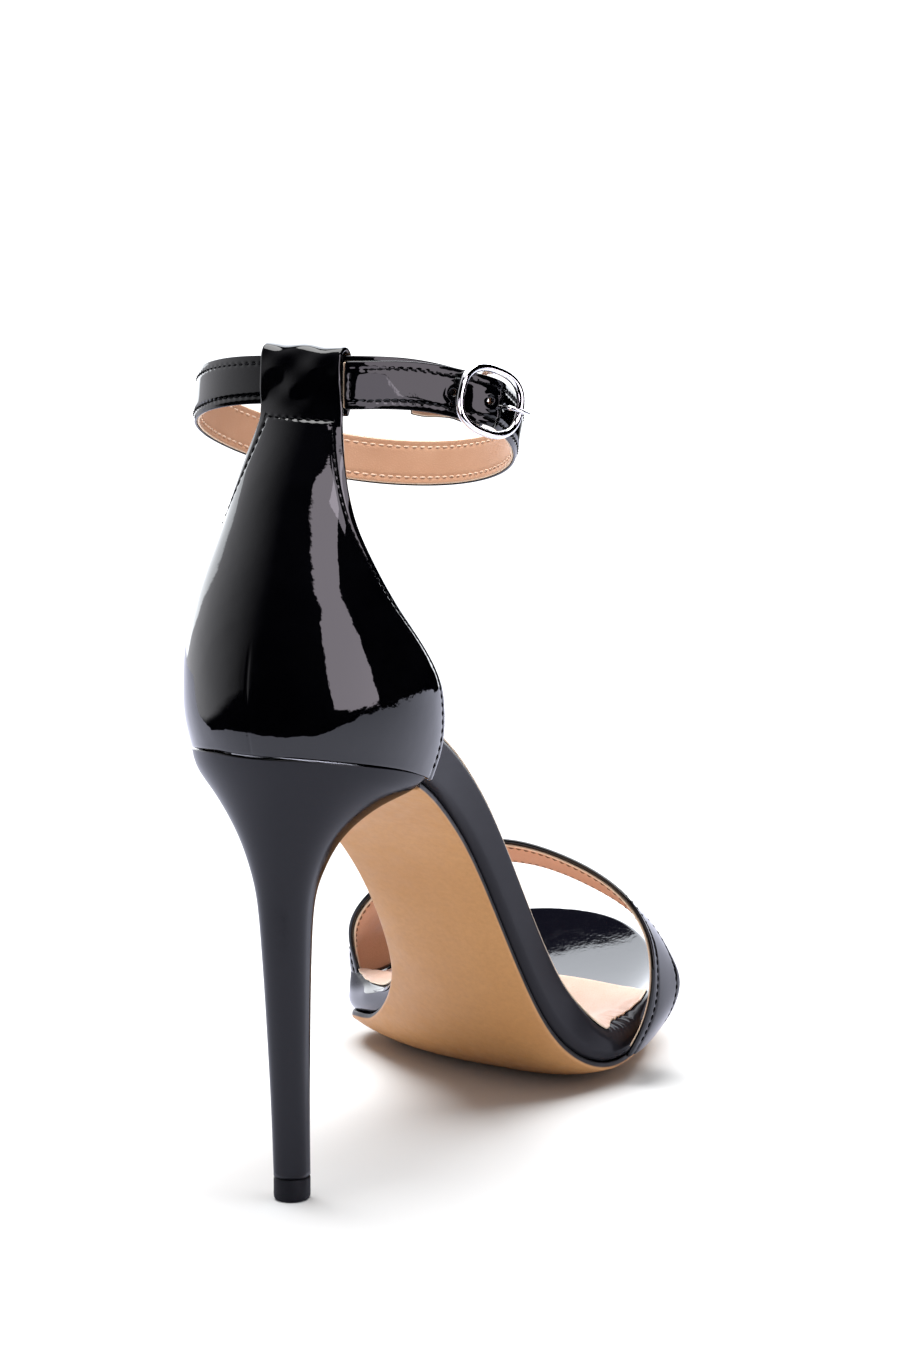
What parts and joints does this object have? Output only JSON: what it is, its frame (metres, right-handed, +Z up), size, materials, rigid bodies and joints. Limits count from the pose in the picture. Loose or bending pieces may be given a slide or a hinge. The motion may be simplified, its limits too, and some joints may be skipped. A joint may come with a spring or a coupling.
{
  "type": "high heel shoe",
  "caption": "Open-toe stiletto sandal in black patent leather, with a closed back, a buckled ankle strap and a toe strap.",
  "frame": {"origin": "on the floor, under the middle of the whole shoe's box", "axes": "+Y from heel to toe, +X to the outer side of the right foot, +Z up"},
  "size_m": [0.0938, 0.2094, 0.207],
  "materials": {
    "patent": "black patent, mirror gloss",
    "sole_leather": "smooth tan, satin, edge inked black",
    "lining": "smooth peach tan, matt",
    "heel_black": "black lacquer, satin",
    "tip": "black, matt",
    "silver": "polished silver"
  },
  "bodies": {
    "root": {"outsole": "sole_leather", "platform": "patent", "insole": "lining", "heel": "heel_black", "top_piece": "tip", "counter": "patent", "toe_strap": "patent", "ankle_strap": "patent", "buckle_frame": "silver", "buckle_prong": "silver"}
  },
  "joints": []
}
